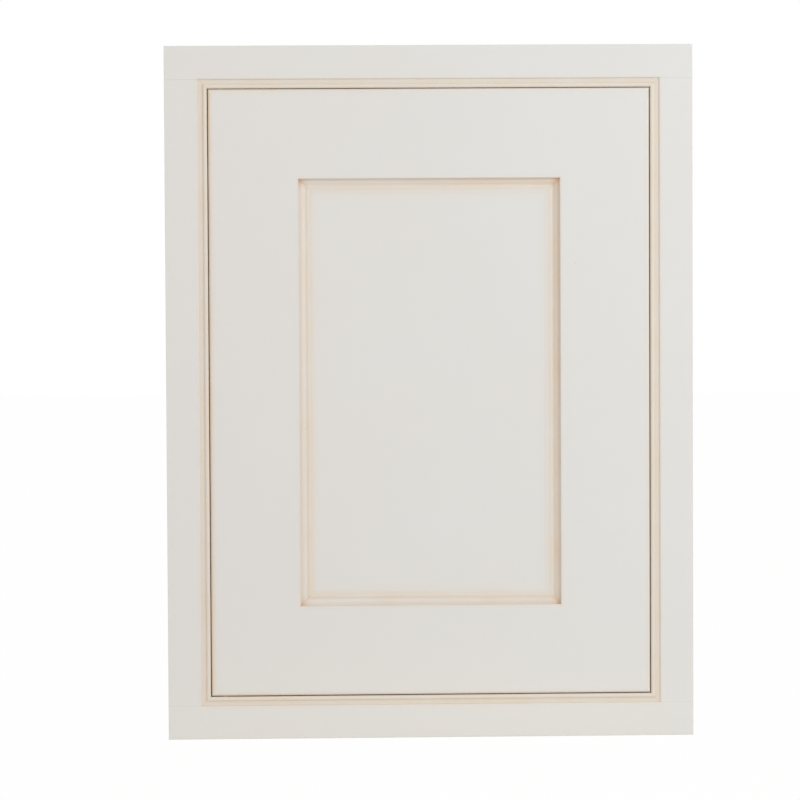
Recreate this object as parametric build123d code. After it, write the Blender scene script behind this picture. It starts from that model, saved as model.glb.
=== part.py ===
from build123d import *
import os

# Inset kitchen cabinet door hung in its beaded face frame.
# Millimetres. X runs to the right seen from the front, Y runs back and Z runs up.
# The origin is the centre of the bottom rail's back face, where the frame meets its cabinet.

# Face frame
overall_width = 470.0
overall_height = 618.0
frame_thickness = 19.0
rail_width = 30.0
stile_width = 30.0
frame_arris = 1.3
outer_arris = 0.5
tenon_thickness = 6.0
tenon_length = 12.0
tenon_shoulder = 4.0

# Bead strip planted round the opening: a sunk flat and a round bead
bead_strip_width = 8.0
quirk_depth = 1.4
bead_radius = 2.1

# Door
door_gap = 0.7
top_gap = 0.5
door_thickness = 19.0
door_stile_width = 79.9
door_rail_width = 79.9
door_arris = 2.5
door_back_arris = 1.0
recess_arris = 0.9
panel_setback = 5.4
tongue_setback = 8.0
tongue_thickness = 6.0
groove_depth = 9.0
panel_room = 1.5

# Moulding planted inside the recess: a ledge, an ogee, a low bead and a toe
moulding_setback = 3.8
ledge_width = 2.6
ogee_run = 3.6
moulding_quirk = 0.2
moulding_bead_width = 3.2
moulding_bead_rise = 0.35
toe_width = 3.6
toe_rise = 0.15

# Pivot hinges, one at each end of the hinge stile
pivot_inset = 12.0
pivot_setback = 5.6
pin_radius = 2.0
leaf_width = 7.0
leaf_thickness = 1.6
leaf_proud = 0.1
leaf_reach = 50.0
first_screw = 16.0
screw_pitch = 22.0

# Countersunk wood screws of the hinge leaves
leaf_screw_radius = 1.4
leaf_screw_head_radius = 2.8
leaf_screw_head_height = 1.6
leaf_screw_length = 15.0

# Door stops planted behind the bead strips, and the brads that hold them
stop_thickness = 10.0
stop_lap = 12.0
stop_arris = 0.8
brad_width = 1.3
brad_depth = 1.0
brad_length = 20.0
brad_inset = 32.0
brads_on_upright = 3
brads_on_level = 2

# Magnetic catches in the free side's stop
catch_lap = 7.0
catch_from_end = 60.0
cup_width = 6.0
cup_height = 14.0
cup_length = 7.0
cup_wall = 0.6
cup_floor = 0.8
strike_width = 8.0
strike_height = 16.0
strike_thickness = 1.2
strike_screw_radius = 1.2
strike_screw_head_radius = 2.4
strike_screw_head_height = 1.2
strike_screw_length = 12.0

# Clearances
running_clearance = 0.05
fitting_clearance = 0.1
bottom_clearance = 0.5
pin_end_clearance = 0.3
heel_clearance = 0.4

# Places worked out from the sizes above
front = -frame_thickness
bottom = -rail_width / 2
top = bottom + overall_height
left = -overall_width / 2
right = overall_width / 2
board_left = left + stile_width
board_right = right - stile_width
board_bottom = bottom + rail_width
board_top = top - rail_width
opening_left = board_left + bead_strip_width
opening_right = board_right - bead_strip_width
opening_bottom = board_bottom + bead_strip_width
opening_top = board_top - bead_strip_width
door_left = opening_left + door_gap
door_right = opening_right - door_gap
door_bottom = opening_bottom + door_gap
door_top = opening_top - top_gap
door_back = front + door_thickness
recess_left = door_left + door_stile_width
recess_right = door_right - door_stile_width
recess_bottom = door_bottom + door_rail_width
recess_top = door_top - door_rail_width
panel_front = front + panel_setback
tongue_front = front + tongue_setback
panel_back = tongue_front + tongue_thickness
moulding_width = ledge_width + ogee_run + moulding_quirk + moulding_bead_width + toe_width
pivot_x = door_left + pivot_inset
pivot_y = front + pivot_setback
leaf_depth = leaf_thickness - leaf_proud
washer_radius = leaf_width / 2
pivot_to_back = door_thickness - pivot_setback - door_back_arris
heel_reach = Vector(pivot_inset - door_back_arris, pivot_to_back).length + door_back_arris
heel_relief = heel_reach - (door_thickness - pivot_setback) + heel_clearance
heel_sweep = (heel_reach**2 - (door_thickness - pivot_setback) ** 2) ** 0.5
hinge_stop_lap = door_gap + pivot_inset + heel_sweep + heel_clearance


def block(x0, x1, y0, y1, z0, z1):
    """A rectangular block between two corners."""
    size = (abs(x1 - x0), abs(y1 - y0), abs(z1 - z0))
    return Pos((x0 + x1) / 2, (y0 + y1) / 2, (z0 + z1) / 2) * Box(*size)


def rod(radius, length):
    """A round rod that stands on the origin along Z."""
    return Cylinder(radius, length, align=(Align.CENTER, Align.CENTER, Align.MIN))


def slab(width, height, start, end, room=0):
    """A block round the Z axis from start to end, with room added on its four sides."""
    half_width = width / 2 + room
    half_height = height / 2 + room
    return block(-half_width, half_width, -half_height, half_height, start, end)


def face_edges(shape, depth, x0, x1, z0, z1):
    """Edges in the plane Y = depth that run along the rectangle x0 to x1, z0 to z1."""
    found = []
    for edge in shape.edges():
        c = edge.center()
        if abs(c.Y - depth) > 1e-4:
            continue
        on_side = min(abs(c.X - x0), abs(c.X - x1)) < 1e-4 and z0 < c.Z < z1
        on_end = min(abs(c.Z - z0), abs(c.Z - z1)) < 1e-4 and x0 < c.X < x1
        if on_side or on_end:
            found.append(edge)
    return found


def mitred(profile, outer_length, width):
    """A strip along X of the profile, whose ends are cut at 45 degrees towards +Z."""
    half = outer_length / 2
    strip = extrude(profile, amount=half, both=True)
    ends = Polygon((-half, 0), (half, 0), (half - width, width), (-half + width, width), align=None)
    wedge = extrude(Plane.XZ * ends, amount=2 * max(frame_thickness, door_thickness), both=True)
    return strip & wedge


def planted(profile, x0, x1, z0, z1, width):
    """Four mitred strips round the inside of a rectangle, by the name of their side."""
    x_mid = (x0 + x1) / 2
    z_mid = (z0 + z1) / 2
    along = mitred(profile, x1 - x0, width)
    upright = mitred(profile, z1 - z0, width)
    return {
        "bottom": Pos(x_mid, 0, z0) * along,
        "top": Pos(x_mid, 0, z1) * Rot(0, 180, 0) * along,
        "left": Pos(x0, 0, z_mid) * Rot(0, 90, 0) * upright,
        "right": Pos(x1, 0, z_mid) * Rot(0, -90, 0) * upright,
    }


def countersunk_screw(radius, head_radius, head_height, length):
    """A countersunk screw that points down, with its head's top at the origin."""
    half = [(0, 0), (head_radius, 0), (radius, -head_height), (radius, -length), (0, -length)]
    return revolve(Plane.XZ * Polygon(*half, align=None), Axis.Z)


def countersunk_hole(radius, head_radius, head_height, length):
    """What such a screw's hole takes away, with its clearances."""
    r = radius + running_clearance
    half = [(0, 0), (head_radius + running_clearance, 0), (r, -head_height)]
    half += [(r, -length - bottom_clearance), (0, -length - bottom_clearance)]
    return revolve(Plane.XZ * Polygon(*half, align=None), Axis.Z)


def pilot_hole(radius, depth, start=0):
    """A straight hole that points down, from start to depth below the origin."""
    deep = depth + bottom_clearance
    return Pos(0, 0, -deep) * rod(radius + running_clearance, deep - start)


# Face frame: two full width rails and two stiles tenoned between them
def face_frame():
    """The four boards of the face frame."""
    blank = block(left, right, front, 0, bottom, top)
    blank -= block(board_left, board_right, front, 0, board_bottom, board_top)
    blank = fillet(face_edges(blank, front, board_left, board_right, board_bottom, board_top), frame_arris)
    blank = fillet(face_edges(blank, front, left, right, bottom, top), outer_arris)
    boards = {
        "frame_top_rail": blank & block(left, right, front, 0, board_top, top),
        "frame_bottom_rail": blank & block(left, right, front, 0, bottom, board_bottom),
    }
    tenon_front = (front - tenon_thickness) / 2
    tenon_back = tenon_front + tenon_thickness
    for name, x0, x1 in (("left", left, board_left), ("right", board_right, right)):
        stile = blank & block(x0, x1, front, 0, board_bottom, board_top)
        sides = (x0 + tenon_shoulder, x1 - tenon_shoulder, tenon_front, tenon_back)
        stile += block(*sides, board_bottom - tenon_length, board_top + tenon_length)
        boards[f"frame_{name}_stile"] = stile
        deep = tenon_length + bottom_clearance
        boards["frame_top_rail"] -= block(*sides, board_top, board_top + deep)
        boards["frame_bottom_rail"] -= block(*sides, board_bottom - deep, board_bottom)
    return boards


# Bead strips: the sunk flat lies beside the boards and the bead beside the gap, level with them
def bead_strips():
    """The four mitred bead strips."""
    floor = front + quirk_depth
    inner = bead_strip_width
    middle = inner - bead_radius
    side = (front + bead_radius, inner)
    foot = (floor, middle - (bead_radius**2 - (bead_radius - quirk_depth) ** 2) ** 0.5)
    section = Polyline(foot, (floor, 0), (0, 0), (0, inner), side)
    section += ThreePointArc(side, (front, middle), foot)
    profile = Plane.YZ * make_face(section)
    strips = planted(profile, board_left, board_right, board_bottom, board_top, inner)
    return {f"bead_{side}": strip for side, strip in strips.items()}


# Door frame: full height stiles, rails with stub tenons, and a groove for the panel
def door_frame():
    """The stiles and rails of the door."""
    blank = block(door_left, door_right, front, door_back, door_bottom, door_top)
    blank -= block(recess_left, recess_right, front, door_back, recess_bottom, recess_top)
    outside = (door_left, door_right, door_bottom, door_top)
    inside = (recess_left, recess_right, recess_bottom, recess_top)
    blank = fillet(face_edges(blank, front, *outside), door_arris)
    blank = fillet(face_edges(blank, door_back, *outside), door_back_arris)
    blank = fillet(face_edges(blank, front, *inside), recess_arris)
    slot = (tongue_front, panel_back)
    pieces = {}
    for name, x0, x1, edge, sign in (
        ("left", door_left, recess_left, recess_left, -1),
        ("right", recess_right, door_right, recess_right, 1),
    ):
        stile = blank & block(x0, x1, front, door_back, door_bottom, door_top)
        stile -= block(edge, edge + sign * groove_depth, *slot, door_bottom, door_top)
        pieces[f"door_{name}_stile"] = stile
    reach = groove_depth - bottom_clearance
    for name, z0, z1, edge, sign in (
        ("bottom", door_bottom, recess_bottom, recess_bottom, -1),
        ("top", recess_top, door_top, recess_top, 1),
    ):
        rail = blank & block(recess_left, recess_right, front, door_back, z0, z1)
        outer = z0 if sign < 0 else z1
        rail += block(recess_left - reach, recess_right + reach, *slot, outer, edge + sign * groove_depth)
        rail -= block(recess_left, recess_right, *slot, edge, edge + sign * groove_depth)
        pieces[f"door_{name}_rail"] = rail
    return pieces


# Panel: its tongue lies loose in the groove, and its flat field lies inside the mouldings
def door_panel():
    """The panel, whose tongue has panel_room on each edge."""
    reach = groove_depth - panel_room
    sides = (recess_left - reach, recess_right + reach)
    ends = (recess_bottom - reach, recess_top + reach)
    tongue = block(*sides, tongue_front, panel_back, *ends)
    field_sides = (recess_left + moulding_width, recess_right - moulding_width)
    field_ends = (recess_bottom + moulding_width, recess_top - moulding_width)
    return tongue + block(*field_sides, panel_front, tongue_front, *field_ends)


def mouldings():
    """The four mitred mouldings that cover the joint between frame and panel."""
    crest = front + moulding_setback
    foot = panel_front - toe_rise
    ogee_end = ledge_width + ogee_run
    turn = ((crest + foot) / 2, (ledge_width + ogee_end) / 2)
    bead_start = ogee_end + moulding_quirk
    bead_end = bead_start + moulding_bead_width
    crown = (foot - moulding_bead_rise, (bead_start + bead_end) / 2)
    toe_end = moulding_width - toe_rise
    back = [(panel_front, moulding_width), (tongue_front, moulding_width), (tongue_front, 0)]
    section = Polyline(*back, (crest, 0), (crest, ledge_width))
    section += TangentArc((crest, ledge_width), turn, tangent=(0, 1))
    section += TangentArc((foot, ogee_end), turn, tangent=(0, -1))
    section += Line((foot, ogee_end), (foot, bead_start))
    section += ThreePointArc((foot, bead_start), crown, (foot, bead_end))
    section += Line((foot, bead_end), (foot, toe_end))
    section += RadiusArc((foot, toe_end), (panel_front, moulding_width), toe_rise)
    profile = Plane.YZ * make_face(section)
    strips = planted(profile, recess_left, recess_right, recess_bottom, recess_top, moulding_width)
    return {f"moulding_{side}": strip for side, strip in strips.items()}


# Pivot hinges: a pinned leaf in the frame, a washer in the gap and a bored leaf in the door
def leaf_blank(thickness, clearance):
    """A leaf lying on the XY plane: round at the pivot, square at its far end."""
    half = leaf_width / 2 + clearance
    flat = Circle(half) + Pos((leaf_reach + clearance) / 2, 0) * Rectangle(leaf_reach + clearance, 2 * half)
    return extrude(flat, amount=thickness)


def hinge_parts(name, frame_face, up, gap):
    """One pivot hinge in the gap at frame_face, where up is 1 at the top and -1 at the bottom."""
    flip = Rot(0, 0, 0) if up > 0 else Rot(180, 0, 0)
    at_frame = Pos(pivot_x, pivot_y, frame_face) * flip
    at_door = Pos(pivot_x, pivot_y, frame_face - up * gap) * flip
    screw = (leaf_screw_radius, leaf_screw_head_radius, leaf_screw_head_height, leaf_screw_length)
    washer_thickness = gap - 2 * leaf_proud
    frame_leaf = Pos(0, 0, -leaf_proud) * leaf_blank(leaf_thickness, 0)
    frame_leaf -= Pos(0, 0, -leaf_proud) * rod(pin_radius, leaf_thickness)
    door_leaf = Pos(0, 0, -leaf_depth) * leaf_blank(leaf_thickness, 0)
    door_leaf -= Pos(0, 0, -leaf_depth) * rod(pin_radius + running_clearance, leaf_thickness)
    frame_seat = leaf_blank(leaf_depth, fitting_clearance)
    door_seat = Pos(0, 0, -leaf_depth) * leaf_blank(leaf_depth, fitting_clearance)
    frame_screws = []
    door_screws = []
    for x in (first_screw, first_screw + screw_pitch):
        head_up = Pos(x, 0, -leaf_proud) * Rot(180, 0, 0)
        head_down = Pos(x, 0, leaf_proud)
        frame_leaf -= head_up * countersunk_hole(*screw)
        door_leaf -= head_down * countersunk_hole(*screw)
        frame_seat += head_up * pilot_hole(leaf_screw_radius, leaf_screw_length, leaf_thickness)
        door_seat += head_down * pilot_hole(leaf_screw_radius, leaf_screw_length, leaf_thickness)
        frame_screws.append(at_frame * head_up * countersunk_screw(*screw))
        door_screws.append(at_door * head_down * countersunk_screw(*screw))
    pin_length = 2 * leaf_thickness + washer_thickness - pin_end_clearance
    pin = Pos(0, 0, leaf_depth - pin_length) * rod(pin_radius, pin_length)
    washer = rod(washer_radius, washer_thickness) - rod(pin_radius + running_clearance, washer_thickness)
    washer = Pos(0, 0, -leaf_proud - washer_thickness) * washer
    parts = {
        f"{name}_frame_leaf": at_frame * frame_leaf,
        f"{name}_door_leaf": at_door * door_leaf,
        f"{name}_pivot_pin": at_frame * pin,
        f"{name}_washer": at_frame * washer,
    }
    return parts, at_frame * frame_seat, at_door * door_seat, frame_screws, door_screws


def spread(start, end, count):
    """Places for count fixings between two ends, brad_inset in from each."""
    first = start + brad_inset
    last = end - brad_inset
    return [first + (last - first) * i / (count - 1) for i in range(count)]


def brad(clearance):
    """A flat sided brad that points down from the origin, or with a clearance its hole."""
    return Pos(0, 0, -brad_length - clearance) * Box(
        brad_width + 2 * clearance,
        brad_depth + 2 * clearance,
        brad_length + clearance,
        align=(Align.CENTER, Align.CENTER, Align.MIN),
    )


# Door stops: the hinge side's lip is relieved, so that the heel of the opening door swings clear
def door_stops():
    """The four stops, and the places of their brads with the bead strip that each goes into."""
    outer_bottom = opening_bottom - bead_strip_width
    outer_top = opening_top + bead_strip_width
    outer_left = opening_left - bead_strip_width
    outer_right = opening_right + bead_strip_width
    lip_left = opening_left + hinge_stop_lap
    lip_right = opening_right - stop_lap
    back = stop_thickness
    stops = {
        "stop_hinge_side": block(outer_left, lip_left, 0, back, outer_bottom, outer_top),
        "stop_free_side": block(lip_right, outer_right, 0, back, outer_bottom, outer_top),
        "stop_top": block(lip_left, lip_right, 0, back, opening_top - stop_lap, outer_top),
        "stop_bottom": block(lip_left, lip_right, 0, back, outer_bottom, opening_bottom + stop_lap),
    }
    for name, shape in stops.items():
        box = shape.bounding_box()
        edges = face_edges(shape, back, box.min.X, box.max.X, box.min.Z, box.max.Z)
        stops[name] = fillet(edges, stop_arris)
    stops["stop_hinge_side"] -= block(opening_left, lip_left, 0, heel_relief, opening_bottom, opening_top)
    half = bead_strip_width / 2
    brads = []
    for z in spread(outer_bottom, outer_top, brads_on_upright):
        brads.append(("stop_hinge_side", "bead_left", opening_left - half, z))
        brads.append(("stop_free_side", "bead_right", opening_right + half, z))
    for x in spread(lip_left, lip_right, brads_on_level):
        brads.append(("stop_top", "bead_top", x, opening_top + half))
        brads.append(("stop_bottom", "bead_bottom", x, opening_bottom - half))
    return stops, brads


# Catches: a magnet in its steel cup in the stop, and a screwed strike in the door's back
def catches():
    """The catch nodes, and what the stop and the door's stile lose to them."""
    to_back = Rot(-90, 0, 0)
    screw = (strike_screw_radius, strike_screw_head_radius, strike_screw_head_height, strike_screw_length)
    magnet_length = cup_length - cup_floor
    cup = slab(cup_width, cup_height, 0, cup_length)
    cup -= slab(cup_width, cup_height, 0, magnet_length, -cup_wall)
    magnet = slab(cup_width, cup_height, 0, magnet_length, -cup_wall - running_clearance)
    strike = slab(strike_width, strike_height, -strike_thickness, 0) - countersunk_hole(*screw)
    seat = slab(strike_width, strike_height, -strike_thickness, 0, fitting_clearance)
    seat += pilot_hole(strike_screw_radius, strike_screw_length, strike_thickness)
    groups = {"catch_cups": [], "catch_magnets": [], "strike_plates": [], "strike_screws": []}
    stop_cuts = []
    door_cuts = []
    for z in (door_bottom + catch_from_end, door_top - catch_from_end):
        in_stop = Pos(opening_right - catch_lap, 0, z) * to_back
        in_door = Pos(opening_right - catch_lap, door_back, z) * to_back
        groups["catch_cups"].append(in_stop * cup)
        groups["catch_magnets"].append(in_stop * magnet)
        groups["strike_plates"].append(in_door * strike)
        groups["strike_screws"].append(in_door * countersunk_screw(*screw))
        stop_cuts.append(in_stop * slab(cup_width, cup_height, 0, cup_length, running_clearance))
        door_cuts.append(in_door * seat)
    return groups, stop_cuts, door_cuts


def build():
    """Every piece of the door and its frame, by name."""
    pieces = face_frame()
    pieces.update(bead_strips())
    pieces.update(door_frame())
    pieces["door_panel"] = door_panel()
    pieces.update(mouldings())
    frame_screws = []
    door_screws = []
    for name, side, *place in (
        ("upper", "top", opening_top, 1, top_gap),
        ("lower", "bottom", opening_bottom, -1, door_gap),
    ):
        parts, frame_seat, door_seat, in_frame, in_door = hinge_parts(name, *place)
        for node in (f"bead_{side}", f"frame_{side}_rail"):
            pieces[node] -= frame_seat
        for node in ("door_left_stile", f"door_{side}_rail"):
            pieces[node] -= door_seat
        pieces.update(parts)
        frame_screws += in_frame
        door_screws += in_door
    groups = {"frame_leaf_screws": frame_screws, "door_leaf_screws": door_screws, "stop_brads": []}
    stops, brads = door_stops()
    pieces.update(stops)
    for stop, bead, x, z in brads:
        place = Pos(x, stop_thickness, z) * Rot(-90, 0, 0)
        groups["stop_brads"].append(place * brad(0))
        for node in (stop, bead):
            pieces[node] -= place * brad(running_clearance)
    catch_groups, stop_cuts, door_cuts = catches()
    groups.update(catch_groups)
    for cut in stop_cuts:
        pieces["stop_free_side"] -= cut
    for cut in door_cuts:
        pieces["door_right_stile"] -= cut
    for node, solids in groups.items():
        pieces[node] = Compound(children=solids)
    return pieces


os.makedirs("parts", exist_ok=True)
for node, piece in build().items():
    export_step(piece, f"parts/{node}.step")
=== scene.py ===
"""Looks of an inset kitchen cabinet door in its beaded face frame.

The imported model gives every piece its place. This script gives each piece its finish,
replaces the wood screws by slotted ones with threads, and sets the studio.
"""

import logging
import math
from dataclasses import dataclass
from enum import Enum

import bmesh
import bpy
from mathutils import Matrix, Vector


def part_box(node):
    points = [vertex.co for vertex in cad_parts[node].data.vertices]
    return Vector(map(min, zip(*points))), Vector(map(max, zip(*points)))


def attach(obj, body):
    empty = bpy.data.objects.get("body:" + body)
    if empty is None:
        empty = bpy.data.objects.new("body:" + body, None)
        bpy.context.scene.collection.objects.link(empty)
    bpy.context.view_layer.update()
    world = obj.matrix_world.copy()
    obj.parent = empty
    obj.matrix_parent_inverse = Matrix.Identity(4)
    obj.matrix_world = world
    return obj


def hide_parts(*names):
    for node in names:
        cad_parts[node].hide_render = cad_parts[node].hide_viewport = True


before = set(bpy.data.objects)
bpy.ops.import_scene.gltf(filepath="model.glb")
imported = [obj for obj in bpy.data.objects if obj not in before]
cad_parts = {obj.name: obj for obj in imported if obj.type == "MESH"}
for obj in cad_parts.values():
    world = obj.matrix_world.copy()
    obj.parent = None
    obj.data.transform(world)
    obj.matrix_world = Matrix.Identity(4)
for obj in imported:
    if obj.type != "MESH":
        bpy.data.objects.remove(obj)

log = logging.getLogger("cabinet_door")

MM = 0.001
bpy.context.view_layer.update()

# Vertices closer than this are one vertex
WELD = 0.001 * MM
# How far a vertex may lie from a plane and still count as on it
ON_PLANE = 0.0005 * MM

# Sockets of a Mix node that mixes colours; its other sockets have the same names
FACTOR, COLOUR_A, COLOUR_B, MIXED = 0, 6, 7, 2

# Nearly all values of a noise lie between these
NOISE_LOW, NOISE_HIGH = 0.3, 0.7

WHITE = "#FFFFFF"

# Films of tan glaze, by where they lie: light over the shaped edges, and darker where they pool
EDGE_FILM = "#FFEFDA"
OGEE_FILM = "#FFECD9"
CORNER_FILM = "#F7DBBE"
MITRE_FILM = "#F3E2CC"
JOINT_FILM = "#E6DCD0"


class Grain(Enum):
    """The way a board's grain runs, as the index of its axis."""

    LEVEL = 0
    UPRIGHT = 2


class Reach(Enum):
    """The line of a rectangle from which a glaze is measured."""

    SIDES = "its nearest side, outwards"
    CORNERS = "both sides that meet at its corners"
    MITRES = "the diagonals through its corners"
    JOINTS = "the level lines of its top and bottom"


def linear(hex_colour: str) -> tuple[float, float, float, float]:
    """Turn an sRGB hex colour to the linear colour that shaders take.

    Args:
        hex_colour: A colour such as "#E3E0D9".

    Returns:
        Red, green, blue and an alpha of 1.
    """
    parts = [int(hex_colour[i:i + 2], 16) / 255 for i in (1, 3, 5)]
    parts = [p / 12.92 if p <= 0.04045 else ((p + 0.055) / 1.055) ** 2.4 for p in parts]
    return (parts[0], parts[1], parts[2], 1.0)


def per_mm(spacing: float) -> float:
    """The texture scale whose pattern repeats about every so many millimetres."""
    return 1 / (spacing * MM)


def add_node(tree: bpy.types.NodeTree, kind: str, inputs: dict | None = None,
             **settings: object) -> bpy.types.Node:
    """Add a node, set it up and link it.

    Args:
        tree: The node tree that takes the node.
        kind: The node's type, such as "ShaderNodeMix".
        inputs: Socket name or index to a value, or to an output socket to link.
        settings: Attributes of the node itself.

    Returns:
        The new node.
    """
    made = tree.nodes.new(kind)
    for key, value in settings.items():
        setattr(made, key, value)
    for key, value in (inputs or {}).items():
        socket = made.inputs[key]
        if isinstance(value, bpy.types.NodeSocket):
            tree.links.new(value, socket)
        else:
            socket.default_value = value
    return made


@dataclass(frozen=True)
class Streaks:
    """A noise drawn out along one axis, as grain and brush lines are. Sizes are in millimetres."""

    spacing: float
    length: float
    axis: int
    detail: float
    distortion: float = 0.0

    def make(self, tree: bpy.types.NodeTree, place: bpy.types.NodeSocket) -> bpy.types.NodeSocket:
        """Add the noise.

        Args:
            tree: The node tree.
            place: Object coordinates.

        Returns:
            The noise, from 0 to 1.
        """
        scale = [per_mm(self.spacing)] * 3
        scale[self.axis] = per_mm(self.length)
        drawn_out = add_node(tree, "ShaderNodeMapping", {"Vector": place, "Scale": scale})
        made = add_node(tree, "ShaderNodeTexNoise", {
            "Vector": drawn_out.outputs["Vector"], "Scale": 1.0, "Detail": self.detail,
            "Distortion": self.distortion})
        return made.outputs["Fac"]


def new_material(name: str) -> tuple[bpy.types.Material, bpy.types.NodeTree]:
    """Start a material with an empty node tree.

    Args:
        name: The material's name.

    Returns:
        The material and its tree.
    """
    material = bpy.data.materials.new(name)
    material.use_nodes = True
    material.node_tree.nodes.clear()
    return material, material.node_tree


@dataclass(frozen=True)
class Rectangle:
    """A rectangle in the plane of the face, in metres."""

    left: float
    right: float
    bottom: float
    top: float

    @property
    def centre(self) -> Vector:
        """The middle of the rectangle."""
        return Vector(((self.left + self.right) / 2, 0.0, (self.bottom + self.top) / 2))

    @property
    def half(self) -> Vector:
        """Half of the rectangle's width and height."""
        return Vector(((self.right - self.left) / 2, 0.0, (self.top - self.bottom) / 2))


@dataclass(frozen=True)
class WipedGlaze:
    """Tan oil glaze, brushed over the enamel and wiped off by hand.

    It stays in the quirks, corners and joints of a moulding as a thin see-through film, so
    it is multiplied over the paint. Sizes are in millimetres, and the shares have no unit:

    stops: The film by the distance from a line of the rectangle.
    uneven: How far a slow noise moves it up and down, as the wiping cloth leaves it.
    lean: How much more of it lies to the right and at the top, less where negative. On the
    door, the mouldings and the panel it is painted shade: more film where less light falls.
    level_share: What long strokes along the level sides leave of it there.
    clear_back, fade: How far from the back face it starts, and the depth that it fades over,
        because the brush reaches no further into a gap.
    """

    around: Rectangle
    stops: tuple[tuple[float, float], ...]
    reach: Reach = Reach.SIDES
    film: str = EDGE_FILM
    uneven: float = 0.22
    lean: tuple[float, float] = (0.0, 0.0)
    level_share: float = 1.0
    mitre_blend: float = 1.5
    clear_back: float = 9.0
    fade: float = 2.0
    patch_width: float = 26.0

    def over(self, tree: bpy.types.NodeTree, place: bpy.types.NodeSocket,
             paint: bpy.types.NodeSocket) -> bpy.types.NodeSocket:
        """Lay the glaze over a paint colour.

        Args:
            tree: The material's node tree.
            place: Object coordinates.
            paint: The colour below the glaze.

        Returns:
            The glazed colour.
        """
        centred = add_node(tree, "ShaderNodeVectorMath", {0: place, 1: self.around.centre},
                           operation="SUBTRACT").outputs[0]
        folded = add_node(tree, "ShaderNodeVectorMath", {0: centred}, operation="ABSOLUTE")
        past = add_node(tree, "ShaderNodeVectorMath", {0: folded.outputs[0], 1: self.around.half},
                        operation="SUBTRACT")
        axes = add_node(tree, "ShaderNodeSeparateXYZ", {0: past.outputs[0]})
        kept = self.wiping(tree, place)
        for share in (self.side_lean(tree, centred), self.brush(tree, axes), self.strokes(tree, axes)):
            kept = add_node(tree, "ShaderNodeMath", {0: kept, 1: share}, operation="MULTIPLY").outputs[0]
        laid = self.ramp(tree, self.distance(tree, axes))
        amount = add_node(tree, "ShaderNodeMath", {0: laid, 1: kept}, operation="MULTIPLY", use_clamp=True)
        glazed = add_node(tree, "ShaderNodeMix", {
            FACTOR: amount.outputs[0], COLOUR_A: paint, COLOUR_B: linear(self.film)},
            data_type="RGBA", blend_type="MULTIPLY")
        return glazed.outputs[MIXED]

    def wiping(self, tree: bpy.types.NodeTree, place: bpy.types.NodeSocket) -> bpy.types.NodeSocket:
        """What the cloth leaves from place to place.

        Args:
            tree: The material's node tree.
            place: Object coordinates.

        Returns:
            A share about 1.
        """
        patches = add_node(tree, "ShaderNodeTexNoise", {
            "Vector": place, "Scale": per_mm(self.patch_width), "Detail": 3.0})
        share = add_node(tree, "ShaderNodeMapRange", {
            "Value": patches.outputs["Fac"], "From Min": NOISE_LOW, "From Max": NOISE_HIGH,
            "To Min": 1.0 - self.uneven, "To Max": 1.0 + self.uneven})
        return share.outputs["Result"]

    def side_lean(self, tree: bpy.types.NodeTree, centred: bpy.types.NodeSocket) -> bpy.types.NodeSocket:
        """The lean from side to side, which on the door, the mouldings and the panel is painted shade.

        Args:
            tree: The material's node tree.
            centred: The place from the rectangle's middle.

        Returns:
            A share about 1.
        """
        tilt = Vector((self.lean[0] / self.around.half.x, 0.0, self.lean[1] / self.around.half.z))
        across = add_node(tree, "ShaderNodeVectorMath", {0: centred, 1: tilt}, operation="DOT_PRODUCT")
        share = add_node(tree, "ShaderNodeMath", {0: across.outputs["Value"], 1: 1.0}, operation="ADD")
        return share.outputs[0]

    def brush(self, tree: bpy.types.NodeTree, axes: bpy.types.Node) -> bpy.types.NodeSocket:
        """What the brush reaches from the front.

        Args:
            tree: The material's node tree.
            axes: The distances past the rectangle's sides, by axis.

        Returns:
            1 at the front and 0 towards the back.
        """
        share = add_node(tree, "ShaderNodeMapRange", {
            "Value": axes.outputs["Y"], "From Min": self.clear_back * MM,
            "From Max": (self.clear_back + self.fade) * MM})
        return share.outputs["Result"]

    def strokes(self, tree: bpy.types.NodeTree, axes: bpy.types.Node) -> bpy.types.NodeSocket:
        """What the cloth leaves, by whether the nearest side is level.

        Args:
            tree: The material's node tree.
            axes: The distances past the rectangle's sides, by axis.

        Returns:
            1 near an upright side and the level share near a level one.
        """
        nearer = add_node(tree, "ShaderNodeMath", {0: axes.outputs["Z"], 1: axes.outputs["X"]},
                          operation="SUBTRACT")
        share = add_node(tree, "ShaderNodeMapRange", {
            "Value": nearer.outputs[0], "From Min": -self.mitre_blend * MM,
            "From Max": self.mitre_blend * MM, "To Min": 1.0, "To Max": self.level_share})
        return share.outputs["Result"]

    def distance(self, tree: bpy.types.NodeTree, axes: bpy.types.Node) -> bpy.types.NodeSocket:
        """The distance from the glaze's line, in metres.

        Args:
            tree: The material's node tree.
            axes: The distances past the rectangle's sides, by axis.

        Returns:
            The distance, positive outside the rectangle.
        """
        if self.reach is Reach.JOINTS:
            return axes.outputs["Z"]
        joins = {Reach.SIDES: "MAXIMUM", Reach.CORNERS: "MINIMUM", Reach.MITRES: "SUBTRACT"}
        away = add_node(tree, "ShaderNodeMath", {0: axes.outputs["X"], 1: axes.outputs["Z"]},
                        operation=joins[self.reach])
        return away.outputs[0]

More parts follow.
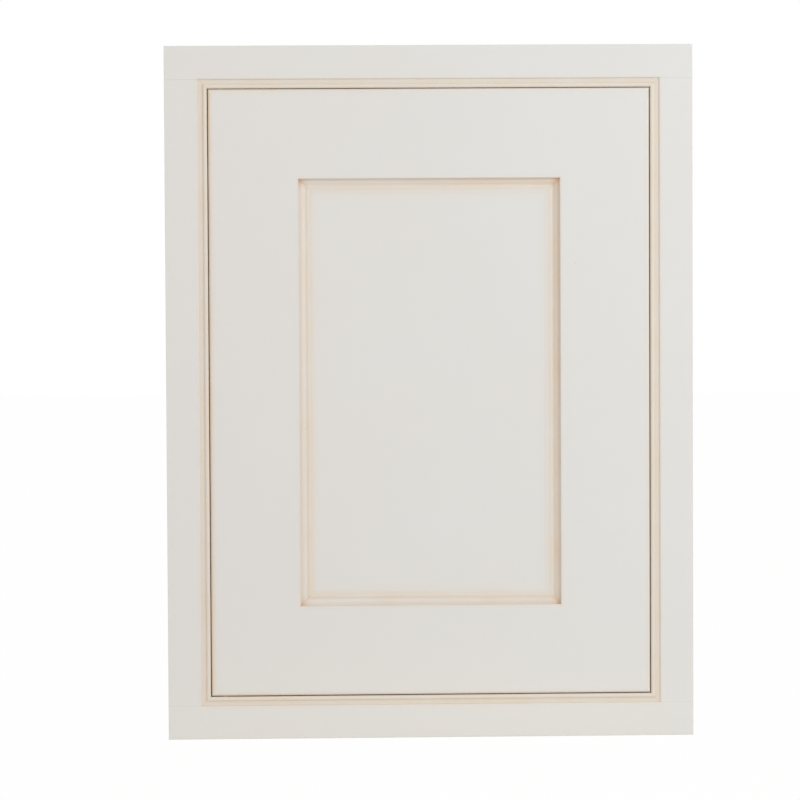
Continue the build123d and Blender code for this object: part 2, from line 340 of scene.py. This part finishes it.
    def ramp(self, tree: bpy.types.NodeTree, away: bpy.types.NodeSocket) -> bpy.types.NodeSocket:
        """Turn a distance to an amount of film, by the stops.

        Args:
            tree: The material's node tree.
            away: The distance, in metres.

        Returns:
            The amount, from 0 to 1.
        """
        start, end = self.stops[0][0], self.stops[-1][0]
        place = add_node(tree, "ShaderNodeMapRange", {
            "Value": away, "From Min": start * MM, "From Max": end * MM})
        ramp = add_node(tree, "ShaderNodeValToRGB", {"Fac": place.outputs["Result"]})
        elements = ramp.color_ramp.elements
        elements.remove(elements[1])
        elements[0].color = (self.stops[0][1],) * 3 + (1.0,)
        for distance, film in self.stops[1:]:
            elements.new((distance - start) / (end - start)).color = (film, film, film, 1.0)
        return ramp.outputs["Color"]


@dataclass(frozen=True)
class SprayedEnamel:
    """Cream oil enamel, sprayed on shaped maple, rubbed down and topped with a satin coat.

    The eye sees an even cream whose tone drifts slowly, a soft sheen, the fine orange peel
    of the spray, and a trace of the wood's grain that the film has sunk into. Painted shade:
    the cream is also mixed warmer and a little darker to the left and cooler to the right,
    for the weaker light on the left. The peel and the grain are drawn about twice as coarse
    as real ones, so that they show at the distance of the photograph. Sizes are in millimetres.
    """

    name: str
    grain: Grain = Grain.UPRIGHT
    glazes: tuple[WipedGlaze, ...] = ()
    gloss: tuple[float, float] = (0.36, 0.46)
    cream: str = "#E3E3E1"
    warm_cream: str = "#E3E0DD"
    speck: str = "#EFE6DC"
    half_width: float = 235.0
    patchiness: float = 0.3
    patch_edge: tuple[float, float] = (0.35, 0.65)
    drift_width: float = 120.0
    sheen_width: float = 45.0
    speck_spacing: float = 34.0
    speck_edge: tuple[float, float] = (0.012, 0.022)
    speck_rarity: float = 0.72
    grain_spacing: float = 1.6
    grain_length: float = 45.0
    grain_depth: float = 0.03
    grain_strength: float = 0.2
    peel_width: float = 1.4
    peel_depth: float = 0.02
    peel_strength: float = 0.25
    refraction: float = 1.5

    def make(self) -> bpy.types.Material:
        """Build the enamel.

        Returns:
            The material.
        """
        material, tree = new_material(self.name)
        place = add_node(tree, "ShaderNodeTexCoord").outputs["Object"]
        colour = self.specks(tree, place, self.tone(tree, place))
        for glaze in self.glazes:
            colour = glaze.over(tree, place, colour)
        sheen = add_node(tree, "ShaderNodeTexNoise", {
            "Vector": place, "Scale": per_mm(self.sheen_width), "Detail": 4.0})
        roughness = add_node(tree, "ShaderNodeMapRange", {
            "Value": sheen.outputs["Fac"], "From Min": NOISE_LOW, "From Max": NOISE_HIGH,
            "To Min": self.gloss[0], "To Max": self.gloss[1]})
        shader = add_node(tree, "ShaderNodeBsdfPrincipled", {
            "Base Color": colour, "Roughness": roughness.outputs["Result"],
            "IOR": self.refraction, "Normal": self.relief(tree, place)})
        add_node(tree, "ShaderNodeOutputMaterial", {"Surface": shader.outputs["BSDF"]})
        return material

    def tone(self, tree: bpy.types.NodeTree, place: bpy.types.NodeSocket) -> bpy.types.NodeSocket:
        """The cream in slow patches, and with painted shade: warmer and a little darker to the left.

        Args:
            tree: The material's node tree.
            place: Object coordinates.

        Returns:
            The paint's colour.
        """
        drift = add_node(tree, "ShaderNodeTexNoise", {
            "Vector": place, "Scale": per_mm(self.drift_width), "Detail": 3.0})
        patches = add_node(tree, "ShaderNodeMapRange", {
            "Value": drift.outputs["Fac"], "From Min": self.patch_edge[0], "From Max": self.patch_edge[1],
            "To Max": self.patchiness})
        # Painted shade: the mix leans to the warm cream towards the left, for the weaker light there
        across = add_node(tree, "ShaderNodeSeparateXYZ", {0: place})
        side = add_node(tree, "ShaderNodeMapRange", {
            "Value": across.outputs["X"], "From Min": -self.half_width * MM,
            "From Max": self.half_width * MM, "To Min": 1.0 - self.patchiness, "To Max": 0.0})
        warmth_and_painted_shade = add_node(tree, "ShaderNodeMath", {0: patches.outputs["Result"], 1: side.outputs["Result"]},
                          operation="ADD")
        paint = add_node(tree, "ShaderNodeMix", {
            FACTOR: warmth_and_painted_shade.outputs[0], COLOUR_A: linear(self.cream), COLOUR_B: linear(self.warm_cream)},
            data_type="RGBA")
        return paint.outputs[MIXED]

    def specks(self, tree: bpy.types.NodeTree, place: bpy.types.NodeSocket,
               paint: bpy.types.NodeSocket) -> bpy.types.NodeSocket:
        """Put a few faint specks of dust and glaze in the film.

        Args:
            tree: The material's node tree.
            place: Object coordinates.
            paint: The paint's colour.

        Returns:
            The colour with the specks.
        """
        cells = add_node(tree, "ShaderNodeTexVoronoi", {
            "Vector": place, "Scale": per_mm(self.speck_spacing)})
        spot = add_node(tree, "ShaderNodeMapRange", {
            "Value": cells.outputs["Distance"], "From Min": self.speck_edge[0],
            "From Max": self.speck_edge[1], "To Min": 1.0, "To Max": 0.0})
        chosen = add_node(tree, "ShaderNodeSeparateColor", {"Color": cells.outputs["Color"]})
        rare = add_node(tree, "ShaderNodeMath", {0: chosen.outputs["Red"], 1: self.speck_rarity},
                        operation="GREATER_THAN")
        amount = add_node(tree, "ShaderNodeMath", {0: spot.outputs["Result"], 1: rare.outputs[0]},
                          operation="MULTIPLY")
        marked = add_node(tree, "ShaderNodeMix", {
            FACTOR: amount.outputs[0], COLOUR_A: paint, COLOUR_B: linear(self.speck)},
            data_type="RGBA", blend_type="MULTIPLY")
        return marked.outputs[MIXED]

    def relief(self, tree: bpy.types.NodeTree, place: bpy.types.NodeSocket) -> bpy.types.NodeSocket:
        """The fine relief of the film: sunken grain under orange peel.

        Args:
            tree: The material's node tree.
            place: Object coordinates.

        Returns:
            The normal of the bumped surface.
        """
        grain = Streaks(self.grain_spacing, self.grain_length, self.grain.value, detail=3.0, distortion=0.4)
        sunken = add_node(tree, "ShaderNodeBump", {
            "Height": grain.make(tree, place), "Strength": self.grain_strength,
            "Distance": self.grain_depth * MM})
        peel = add_node(tree, "ShaderNodeTexNoise", {
            "Vector": place, "Scale": per_mm(self.peel_width), "Detail": 2.0})
        film = add_node(tree, "ShaderNodeBump", {
            "Height": peel.outputs["Fac"], "Strength": self.peel_strength,
            "Distance": self.peel_depth * MM, "Normal": sunken.outputs["Normal"]})
        return film.outputs["Normal"]


@dataclass(frozen=True)
class WorkedMetal:
    """A metal with fine lines where it was drawn, brushed or turned.

    The lines stretch the highlight along one way, and a slow noise shows handling and the
    thin oxide that dulls it in patches. The lines are drawn a few times coarser than real
    ones, so that they show in a near view. Sizes are in millimetres.
    """

    name: str
    colour: str
    dull_colour: str
    roughness: float
    line_spacing: float = 0.12
    line_length: float = 14.0
    line_axis: int = 0
    line_depth: float = 0.01
    line_strength: float = 0.3
    smoother: float = 0.06
    rougher: float = 0.1
    dull_width: float = 5.0
    dull_edge: tuple[float, float] = (0.35, 0.7)

    def make(self) -> bpy.types.Material:
        """Build the metal.

        Returns:
            The material.
        """
        material, tree = new_material(self.name)
        place = add_node(tree, "ShaderNodeTexCoord").outputs["Object"]
        dulling = add_node(tree, "ShaderNodeTexNoise", {
            "Vector": place, "Scale": per_mm(self.dull_width), "Detail": 5.0})
        dull = add_node(tree, "ShaderNodeMapRange", {
            "Value": dulling.outputs["Fac"], "From Min": self.dull_edge[0], "From Max": self.dull_edge[1]})
        colour = add_node(tree, "ShaderNodeMix", {
            FACTOR: dull.outputs["Result"], COLOUR_A: linear(self.colour),
            COLOUR_B: linear(self.dull_colour)}, data_type="RGBA")
        lines = Streaks(self.line_spacing, self.line_length, self.line_axis, detail=2.0).make(tree, place)
        roughness = add_node(tree, "ShaderNodeMapRange", {
            "Value": lines, "From Min": NOISE_LOW, "From Max": NOISE_HIGH,
            "To Min": self.roughness - self.smoother, "To Max": self.roughness + self.rougher})
        relief = add_node(tree, "ShaderNodeBump", {
            "Height": lines, "Strength": self.line_strength, "Distance": self.line_depth * MM})
        shader = add_node(tree, "ShaderNodeBsdfPrincipled", {
            "Base Color": colour.outputs[MIXED], "Metallic": 1.0,
            "Roughness": roughness.outputs["Result"], "Normal": relief.outputs["Normal"]})
        add_node(tree, "ShaderNodeOutputMaterial", {"Surface": shader.outputs["BSDF"]})
        return material


@dataclass(frozen=True)
class Glazing:
    """Where the glaze stays on each kind of piece, around three rectangles of the face."""

    board: Rectangle
    opening: Rectangle
    recess: Rectangle
    # Painted shade: leans of the film, heavier to the left and bottom on the toe and panel, and to the right
    # and top on the ogee, where less light falls or the recess walls cast their shadow
    shaded_low_left: tuple[float, float] = (-0.14, -0.16)
    shaded_high_right: tuple[float, float] = (0.32, 0.04)

    @staticmethod
    def mitres(around: Rectangle, film: float) -> WipedGlaze:
        """The fine line that stays in the mitres."""
        return WipedGlaze(around, ((-0.5, 0.0), (0.0, film), (0.5, 0.0)), Reach.MITRES, MITRE_FILM)

    def boards(self) -> tuple[WipedGlaze, ...]:
        """On the face frame's boards: beside the bead strips and in the joints of the rails.

        Returns:
            The glazes, from the lowest up.
        """
        beside = WipedGlaze(self.board, ((-0.4, 0.6), (0.2, 0.42), (1.2, 0.22), (3.2, 0.0)))
        joints = WipedGlaze(self.board, ((-0.3, 0.0), (-0.1, 0.45), (0.1, 0.45), (0.3, 0.0)),
                            Reach.JOINTS, JOINT_FILM, lean=(0.0, 0.35))
        return beside, joints

    def beads(self) -> tuple[WipedGlaze, ...]:
        """On the bead strips: over the flat, the quirk and the bead, and in the mitres.

        Returns:
            The glazes, from the lowest up.
        """
        strip = WipedGlaze(
            self.opening,
            ((-0.2, 0.82), (0.4, 0.68), (1.0, 0.55), (2.4, 0.5), (3.6, 0.58), (4.2, 0.72), (6.0, 0.66),
             (7.2, 0.52), (8.2, 0.4)),
            lean=(0.03, -0.02), level_share=0.94, fade=8.0)
        return strip, self.mitres(self.board, 0.5)

    def door(self) -> tuple[WipedGlaze, ...]:
        """On the door's stiles and rails: along the gap and along the mouldings.

        Returns:
            The glazes, from the lowest up.
        """
        # Painted shade and light: the film along the gap leans heavier to the left and lighter at the top,
        # as the light from the upper right falls
        gap = WipedGlaze(
            self.opening,
            ((-6.8, 0.0), (-5.4, 0.1), (-4.4, 0.2), (-3.4, 0.3), (-2.6, 0.42), (-1.8, 0.62), (-0.9, 0.85)),
            lean=(-0.34, -0.1), level_share=0.55, fade=8.0)
        inner = WipedGlaze(self.recess, ((-0.4, 0.5), (0.0, 0.42), (0.6, 0.3), (1.6, 0.18), (3.4, 0.0)))
        return gap, inner

    def mouldings(self) -> tuple[WipedGlaze, ...]:
        """On the mouldings: over the bead and toe, over the ogee, and pooled in the corners.

        Returns:
            The glazes, from the lowest up.
        """
        # Painted shade on the toe: more film to the left and at the bottom
        toe = WipedGlaze(
            self.recess,
            ((-13.4, 0.16), (-11.4, 0.34), (-9.8, 0.48), (-8.0, 0.54), (-6.6, 0.58), (-6.2, 0.0)),
            lean=self.shaded_low_left)
        # Painted shade on the ogee: more film to the right and at the top, in the shadow of the recess walls
        ogee = WipedGlaze(
            self.recess,
            ((-6.6, 0.0), (-6.2, 0.68), (-3.4, 0.64), (-1.6, 0.6), (-0.6, 0.5), (0.2, 0.42)),
            film=OGEE_FILM, lean=self.shaded_high_right, level_share=0.84)
        pooled = WipedGlaze(
            self.recess, ((-9.0, 0.0), (-5.0, 0.3), (-2.4, 0.7), (0.0, 1.0)), Reach.CORNERS,
            CORNER_FILM, uneven=0.4, lean=(-0.1, 0.25))
        return toe, ogee, pooled, self.mitres(self.recess, 0.55)

    def panel(self) -> tuple[WipedGlaze, ...]:
        """On the panel: a thin veil along the mouldings.

        Returns:
            The one glaze.
        """
        veil = ((-20.0, 0.0), (-16.0, 0.08), (-14.2, 0.12), (-13.2, 0.18))
        # The veil leans like the toe, as painted shade
        return (WipedGlaze(self.recess, veil, lean=self.shaded_low_left),)


class Finishes:
    """The materials of the whole door, made once and shared."""

    def __init__(self, glazing: Glazing) -> None:
        """Make every finish.

        Args:
            glazing: Where the glaze stays on each kind of piece.
        """
        boards, door, panel = glazing.boards(), glazing.door(), glazing.panel()
        beads, mouldings = glazing.beads(), glazing.mouldings()
        upright, level = Grain.UPRIGHT, Grain.LEVEL
        # Cream enamel: sprayed satin paint, with the wood's grain just felt below it
        self.stile = SprayedEnamel("cream_enamel_on_frame_stile", upright, boards).make()
        self.rail = SprayedEnamel("cream_enamel_on_frame_rail", level, boards).make()
        self.door_stile = SprayedEnamel("cream_enamel_on_door_stile", upright, door).make()
        self.door_rail = SprayedEnamel("cream_enamel_on_door_rail", level, door).make()
        self.panel = SprayedEnamel("cream_enamel_on_panel", upright, panel).make()
        self.stop = SprayedEnamel("cream_enamel_on_stop", upright, gloss=(0.5, 0.62)).make()
        # Glazed enamel: the same paint under a wiped tan glaze, which gives a soft antique tint
        self.upright_bead = SprayedEnamel("glazed_enamel_on_upright_bead", upright, beads).make()
        self.level_bead = SprayedEnamel("glazed_enamel_on_level_bead", level, beads).make()
        self.upright_moulding = SprayedEnamel("glazed_enamel_on_upright_moulding", upright, mouldings).make()
        self.level_moulding = SprayedEnamel("glazed_enamel_on_level_moulding", level, mouldings).make()
        # Satin brass: rolled strip, brushed along the leaf, with a dull warm highlight
        self.brass = WorkedMetal("satin_brass_rolled_and_brushed", "#B99C64", "#96794A", 0.34).make()
        # Brass screws: turned bright, with faint lines that soften the highlight
        self.turned_brass = WorkedMetal(
            "brass_screw_turned", "#C6A768", "#A5854E", 0.28, line_spacing=0.1, line_axis=2).make()
        # Ground steel pin: bright, with fine lines along it
        self.ground_steel = WorkedMetal("steel_pin_ground", "#B9BABA", "#9C9C9A", 0.22, line_axis=2).make()
        # Zinc plated steel: pale blue grey, a little cloudy
        self.zinc = WorkedMetal("steel_zinc_plated", "#C4C8CB", "#A3A8AC", 0.36, line_spacing=0.3).make()
        # Nickel plated magnet: a smooth and slightly yellow mirror
        self.nickel = WorkedMetal(
            "magnet_nickel_plated", "#CDC7BB", "#B6B0A6", 0.16, line_spacing=0.2).make()
        # Drawn steel brads: grey wire with lines along it
        self.drawn_steel = WorkedMetal("steel_brad_drawn", "#A8A9AA", "#8A8A8A", 0.3, line_axis=1).make()


def dress(node: str, material: bpy.types.Material) -> None:
    """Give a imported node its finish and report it.

    Args:
        node: The node's name.
        material: The finish.
    """
    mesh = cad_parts[node].data
    mesh.materials.clear()
    mesh.materials.append(material)
    log.info("%s: %s", node, material.name)


def box_of(node: str) -> tuple[Vector, Vector]:
    """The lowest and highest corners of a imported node, in metres."""
    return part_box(node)


@dataclass
class FaceFrame:
    """Four boards, with the rails running through, and the bead strips planted inside them."""

    finishes: Finishes

    def build(self) -> None:
        """Dress the boards and the beads."""
        for side in ("left", "right"):
            dress(f"frame_{side}_stile", self.finishes.stile)
            dress(f"bead_{side}", self.finishes.upright_bead)
        for side in ("top", "bottom"):
            dress(f"frame_{side}_rail", self.finishes.rail)
            dress(f"bead_{side}", self.finishes.level_bead)


@dataclass
class Door:
    """Stiles, rails, the loose panel and the mouldings planted round its field."""

    finishes: Finishes

    def build(self) -> None:
        """Dress the door's boards, its mouldings and its panel."""
        for side in ("left", "right"):
            dress(f"door_{side}_stile", self.finishes.door_stile)
            dress(f"moulding_{side}", self.finishes.upright_moulding)
        for side in ("top", "bottom"):
            dress(f"door_{side}_rail", self.finishes.door_rail)
            dress(f"moulding_{side}", self.finishes.level_moulding)
        dress("door_panel", self.finishes.panel)


@dataclass(frozen=True)
class ScrewPlace:
    """Where one packed screw stands: its head's centre, the way it points, and its length."""

    head: Vector
    along: Vector
    length: float

    @classmethod
    def of_points(cls, points: list[Vector]) -> "ScrewPlace":
        """Read a screw's place from its vertices.

        Args:
            points: The vertices of one screw, which lies along an axis.

        Returns:
            The screw's place.
        """
        low = Vector([min(point[i] for point in points) for i in range(3)])
        high = Vector([max(point[i] for point in points) for i in range(3)])
        axis = max(range(3), key=lambda i: high[i] - low[i])
        middle = (low + high) / 2
        # The head is the end where the vertices stand furthest out
        widest = max(points, key=lambda point: (point - middle).length - abs(point[axis] - middle[axis]))
        head = middle.copy()
        head[axis] = high[axis] if widest[axis] > middle[axis] else low[axis]
        return cls(head, (middle - head).normalized(), high[axis] - low[axis])


def screw_places(node: str) -> list[ScrewPlace]:
    """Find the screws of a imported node.

    Args:
        node: A node whose solids are screws that lie along an axis.

    Returns:
        The place of each screw, in an order that is the same on every run.
    """
    shape = bmesh.new()
    shape.from_mesh(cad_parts[node].data)
    bmesh.ops.remove_doubles(shape, verts=shape.verts, dist=WELD)
    # A dict, not a set, because a set's order changes from run to run
    waiting = dict.fromkeys(shape.verts)
    places = []
    while waiting:
        island = []
        reached = [waiting.popitem()[0]]
        while reached:
            vertex = reached.pop()
            island.append(vertex.co.copy())
            for link in vertex.link_edges:
                other = link.other_vert(vertex)
                if other in waiting:
                    del waiting[other]
                    reached.append(other)
        places.append(ScrewPlace.of_points(island))
    shape.free()
    return sorted(places, key=lambda place: [round(part / MM, 2) for part in place.head])


@dataclass(frozen=True)
class SlottedScrew:
    """A countersunk wood screw with a slot across its head and a thread on its shank.

    Sizes are in millimetres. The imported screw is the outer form: the thread's crests touch it.
    """

    head_radius: float
    head_height: float
    shank_radius: float
    slot_width: float = 0.6
    slot_depth: float = 0.7
    edge: float = 0.12
    plain_shank: float = 4.0
    thread_pitch: float = 1.1
    thread_depth: float = 0.32
    segments: int = 48
    flat_face: float = 0.9

    def make(self, length: float) -> bpy.types.Mesh:
        """Build the screw pointing down from the origin.

        Args:
            length: The screw's length, in millimetres.

        Returns:
            The mesh, in metres.
        """
        shape = bmesh.new()
        outline = self.outline(length)
        points = [shape.verts.new((radius * MM, 0.0, -depth * MM)) for radius, depth in outline]
        chain = [shape.edges.new(pair) for pair in zip(points, points[1:])]
        bmesh.ops.spin(shape, geom=points + chain, axis=(0, 0, 1), cent=(0, 0, 0), angle=math.tau,
                       steps=self.segments, use_merge=True)
        bmesh.ops.remove_doubles(shape, verts=shape.verts, dist=WELD)
        self.cut_slot(shape)
        bmesh.ops.recalc_face_normals(shape, faces=shape.faces)
        for face in shape.faces:
            # Only the turned sides are smooth: the head's top and the slot's walls are flat
            face.smooth = face.normal.z < self.flat_face and len(face.verts) <= 4
        mesh = bpy.data.meshes.new("slotted_screw")
        shape.to_mesh(mesh)
        shape.free()
        return mesh

    def outline(self, length: float) -> list[tuple[float, float]]:
        """The half outline, as radius and depth below the head's top.

        Args:
            length: The screw's length, in millimetres.

        Returns:
            Points from the middle of the head's top to the tip.
        """
        root = self.shank_radius - self.thread_depth
        points = [(0.0, 0.0), (self.head_radius - self.edge, 0.0), (self.head_radius, self.edge),
                  (self.shank_radius, self.head_height), (self.shank_radius, self.plain_shank)]
        depth = self.plain_shank + self.thread_pitch / 2
        while depth < length - 2 * self.thread_pitch:
            points += [(root, depth), (self.shank_radius, depth + self.thread_pitch / 2)]
            depth += self.thread_pitch
        return points + [(root, depth), (0.0, length)]

    def cut_slot(self, shape: bmesh.types.BMesh) -> None:
        """Cut the slot through the head along Y.

        Args:
            shape: The turned screw.
        """
        half = self.slot_width / 2 * MM
        floor = -self.slot_depth * MM
        for side in (-1, 1):
            bmesh.ops.bisect_plane(shape, geom=shape.verts[:] + shape.edges[:] + shape.faces[:],
                                   plane_co=(side * half, 0, 0), plane_no=(1, 0, 0))
        strip = self.slot_faces(shape, -self.head_height * MM)
        parts = dict.fromkeys(part for face in strip for part in (*face.verts, *face.edges))
        bmesh.ops.bisect_plane(shape, geom=list(parts) + strip, plane_co=(0, 0, floor), plane_no=(0, 0, 1))
        bmesh.ops.delete(shape, geom=self.slot_faces(shape, floor), context="FACES")
        for side in (-1, 1):
            wall = [v for v in shape.verts
                    if abs(v.co.x - side * half) < ON_PLANE and v.co.z > floor - ON_PLANE]
            self.fill(shape, wall, 1, 2)
        ground = [v for v in shape.verts
                  if abs(v.co.z - floor) < ON_PLANE and abs(v.co.x) < half + ON_PLANE]
        self.fill(shape, ground, 0, 1)

    def slot_faces(self, shape: bmesh.types.BMesh, lowest: float) -> list[bmesh.types.BMFace]:
        """The faces that lie in the slot's width and above a level.

        Args:
            shape: The turned screw, cut along the slot's walls.
            lowest: The level, in metres.

        Returns:
            The faces.
        """
        half = self.slot_width / 2 * MM
        middles = ((face, face.calc_center_median()) for face in shape.faces)
        return [face for face, middle in middles if abs(middle.x) < half and middle.z > lowest]

    @staticmethod
    def fill(shape: bmesh.types.BMesh, points: list[bmesh.types.BMVert], first: int, second: int) -> None:
        """Close a convex flat hole.

        Args:
            shape: The mesh.
            points: The hole's vertices.
            first: The index of one axis of its plane.
            second: The index of the other.
        """
        middle = sum((point.co for point in points), Vector()) / len(points)
        points.sort(key=lambda point: math.atan2(
            point.co[second] - middle[second], point.co[first] - middle[first]))
        shape.faces.new(points)


@dataclass
class Fittings:
    """Pivot hinges, stops and catches. The slot turn is the angle from one slot to the next."""

    finishes: Finishes
    leaf_screw: SlottedScrew = SlottedScrew(2.8, 1.6, 1.4)
    strike_screw: SlottedScrew = SlottedScrew(
        2.4, 1.2, 1.2, slot_depth=0.55, plain_shank=3.2, thread_pitch=1.0)
    slot_turn: float = 0.7

    def build(self) -> None:
        """Dress the hinges, the stops and the catches, and put in the screws."""
        for end in ("upper", "lower"):
            for piece in ("frame_leaf", "door_leaf", "washer"):
                dress(f"{end}_{piece}", self.finishes.brass)
            dress(f"{end}_pivot_pin", self.finishes.ground_steel)
        for node in ("stop_hinge_side", "stop_free_side", "stop_top", "stop_bottom"):
            dress(node, self.finishes.stop)
        dress("stop_brads", self.finishes.drawn_steel)
        for node in ("catch_cups", "strike_plates"):
            dress(node, self.finishes.zinc)
        dress("catch_magnets", self.finishes.nickel)
        brass, zinc = self.finishes.turned_brass, self.finishes.zinc
        self.screws("frame_leaf_screws", "face_frame", self.leaf_screw, brass)
        self.screws("door_leaf_screws", "door", self.leaf_screw, brass)
        self.screws("strike_screws", "door", self.strike_screw, zinc)

    def screws(self, node: str, body: str, screw: SlottedScrew,
               material: bpy.types.Material) -> None:
        """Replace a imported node's screws by slotted ones.

        Args:
            node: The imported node.
            body: The body that the screws move with.
            screw: The screw to build.
            material: The finish.
        """
        shape = bmesh.new()
        for count, place in enumerate(screw_places(node)):
            mesh = screw.make(place.length / MM)
            turn = Vector((0, 0, -1)).rotation_difference(place.along).to_matrix().to_4x4()
            spin = Matrix.Rotation(self.slot_turn * count, 4, "Z")
            mesh.transform(Matrix.Translation(place.head) @ turn @ spin)
            shape.from_mesh(mesh)
            bpy.data.meshes.remove(mesh)
        joined = bpy.data.meshes.new(f"slotted_{node}")
        shape.to_mesh(joined)
        shape.free()
        joined.materials.append(material)
        piece = bpy.data.objects.new(f"slotted_{node}", joined)
        bpy.context.scene.collection.objects.link(piece)
        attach(piece, body)
        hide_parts(node)
        log.info("%s: %s", piece.name, material.name)


@dataclass(frozen=True)
class Viewpoint:
    """The camera, at the photograph's place, as fitted to the frame's four outer corners.

    The location and the far limit are in metres, and the lens and the sensor in millimetres.
    """

    location: tuple[float, float, float] = (-0.17207, -4.02200, 0.49627)
    right: tuple[float, float, float] = (0.99932156, -0.03649212, -0.00497491)
    down: tuple[float, float, float] = (-0.006865, -0.05185334, -0.99863111)
    forward: tuple[float, float, float] = (0.0361842, 0.99798775, -0.05206868)
    lens: float = 202.5
    sensor: float = 36.0
    far: float = 100.0

    def build(self) -> None:
        """Add the camera and make it the scene's own."""
        data = bpy.data.cameras.new("camera")
        data.lens = self.lens
        data.sensor_width = self.sensor
        data.clip_end = self.far
        camera = bpy.data.objects.new("camera", data)
        turn = Matrix((self.right, -Vector(self.down), -Vector(self.forward))).transposed().to_4x4()
        camera.matrix_world = Matrix.Translation(self.location) @ turn
        bpy.context.scene.collection.objects.link(camera)
        bpy.context.scene.camera = camera


@dataclass(frozen=True)
class Lamp:
    """A rectangular soft lamp that looks at a point. Sizes are in metres, power is in watts."""

    name: str
    place: tuple[float, float, float]
    target: tuple[float, float, float]
    width: float
    height: float
    power: float
    colour: str = WHITE

    def build(self) -> None:
        """Add the lamp, unseen by the camera."""
        data = bpy.data.lights.new(self.name, "AREA")
        data.shape = "RECTANGLE"
        data.size = self.width
        data.size_y = self.height
        data.energy = self.power
        data.color = linear(self.colour)[:3]
        lamp = bpy.data.objects.new(self.name, data)
        lamp.visible_camera = False
        towards = Vector(self.target) - Vector(self.place)
        turn = towards.to_track_quat("-Z", "Y").to_matrix().to_4x4()
        lamp.matrix_world = Matrix.Translation(self.place) @ turn
        bpy.context.scene.collection.objects.link(lamp)


@dataclass(frozen=True)
class Studio:
    """A pale floor, a white surround and three lamps.

    The soft key lamp stands at the upper right, a weak fill at the left, and a low strip
    gives back the warm light that the floor throws on the foot of the frame.
    """

    floor_z: float
    middle: tuple[float, float, float] = (0.0, -0.02, 0.29)
    foot: tuple[float, float, float] = (0.0, -0.019, 0.004)
    bounce_reach: float = -0.085
    bounce_lift: float = 0.004
    floor_half_width: float = 6.0
    floor_colour: str = "#F4F1EB"
    floor_whiteness: float = 0.975
    surround_strength: float = 0.70

    def build(self) -> None:
        """Add the floor, the surround and the lamps."""
        self.surround()
        self.floor()
        low = (0.0, self.bounce_reach, self.floor_z + self.bounce_lift)
        for lamp in (
                Lamp("key_lamp", (1.62, -1.50, 1.42), self.middle, width=1.0, height=1.0, power=16.6),
                Lamp("fill_lamp", (-1.6, -2.6, 0.9), self.middle, width=1.8, height=1.8, power=6.0),
                Lamp("floor_bounce", low, self.foot, width=0.5, height=0.03, power=0.012, colour="#FFEBCB")):
            lamp.build()

    @staticmethod
    def seen(tree: bpy.types.NodeTree) -> bpy.types.NodeSocket:
        """Tell rays that show the background from rays that light the door.

        Args:
            tree: The node tree of the floor or the world.

        Returns:
            1 for camera, glossy and transmission rays and 0 for others.
        """
        rays = add_node(tree, "ShaderNodeLightPath").outputs
        shown = rays["Is Camera Ray"]
        for other in ("Is Glossy Ray", "Is Transmission Ray"):
            shown = add_node(tree, "ShaderNodeMath", {0: shown, 1: rays[other]},
                             operation="MAXIMUM").outputs[0]
        return shown

    def surround(self) -> None:
        """Make the world white where it is seen and a soft light elsewhere."""
        world = bpy.data.worlds.new("white_surround")
        world.use_nodes = True
        tree = world.node_tree
        tree.nodes.clear()
        light = add_node(tree, "ShaderNodeBackground", {
            "Color": linear(WHITE), "Strength": self.surround_strength})
        white = add_node(tree, "ShaderNodeBackground", {"Color": linear(WHITE), "Strength": 1.0})
        both = add_node(tree, "ShaderNodeMixShader", {
            0: self.seen(tree), 1: light.outputs[0], 2: white.outputs[0]})
        add_node(tree, "ShaderNodeOutputWorld", {"Surface": both.outputs[0]})
        bpy.context.scene.world = world

    def floor(self) -> None:
        """Lay the floor that the bottom rail stands on."""
        shape = bmesh.new()
        bmesh.ops.create_grid(shape, x_segments=1, y_segments=1, size=self.floor_half_width)
        bmesh.ops.translate(shape, verts=shape.verts, vec=(0.0, 0.0, self.floor_z))
        mesh = bpy.data.meshes.new("studio_floor")
        shape.to_mesh(mesh)
        shape.free()
        mesh.materials.append(self.paper())
        floor = bpy.data.objects.new("studio_floor", mesh)
        bpy.context.scene.collection.objects.link(floor)

    def paper(self) -> bpy.types.Material:
        """Pale matt paper, lit nearly white where it is seen, so that only soft shadows show.

        Returns:
            The material.
        """
        material, tree = new_material("pale_matt_paper")
        paper = add_node(tree, "ShaderNodeBsdfDiffuse", {"Color": linear(self.floor_colour)})
        white = add_node(tree, "ShaderNodeEmission", {"Color": linear(WHITE), "Strength": 1.0})
        share = add_node(tree, "ShaderNodeMath", {0: self.seen(tree), 1: self.floor_whiteness},
                         operation="MULTIPLY")
        both = add_node(tree, "ShaderNodeMixShader", {
            0: share.outputs[0], 1: paper.outputs[0], 2: white.outputs[0]})
        add_node(tree, "ShaderNodeOutputMaterial", {"Surface": both.outputs[0]})
        return material


def measured() -> tuple[Rectangle, Rectangle, Rectangle]:
    """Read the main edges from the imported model.

    Returns:
        The inner edges of the frame's boards, the opening, and the door's recess.
    """
    beads = {side: box_of(f"bead_{side}") for side in ("left", "right", "bottom", "top")}
    board = Rectangle(beads["left"][0].x, beads["right"][1].x, beads["bottom"][0].z, beads["top"][1].z)
    opening = Rectangle(beads["left"][1].x, beads["right"][0].x, beads["bottom"][1].z, beads["top"][0].z)
    strips = {side: box_of(f"moulding_{side}") for side in ("left", "right", "bottom", "top")}
    recess = Rectangle(strips["left"][0].x, strips["right"][1].x, strips["bottom"][0].z, strips["top"][1].z)
    return board, opening, recess


def main() -> None:
    """Dress the door, set the studio and the camera, and report each piece."""
    logging.basicConfig(level=logging.INFO, format="%(name)s: %(message)s")
    finishes = Finishes(Glazing(*measured()))
    FaceFrame(finishes).build()
    Door(finishes).build()
    Fittings(finishes).build()
    Studio(box_of("frame_bottom_rail")[0].z).build()
    Viewpoint().build()
    bpy.context.scene.view_settings.view_transform = "Standard"


if __name__ == "__main__":
    main()
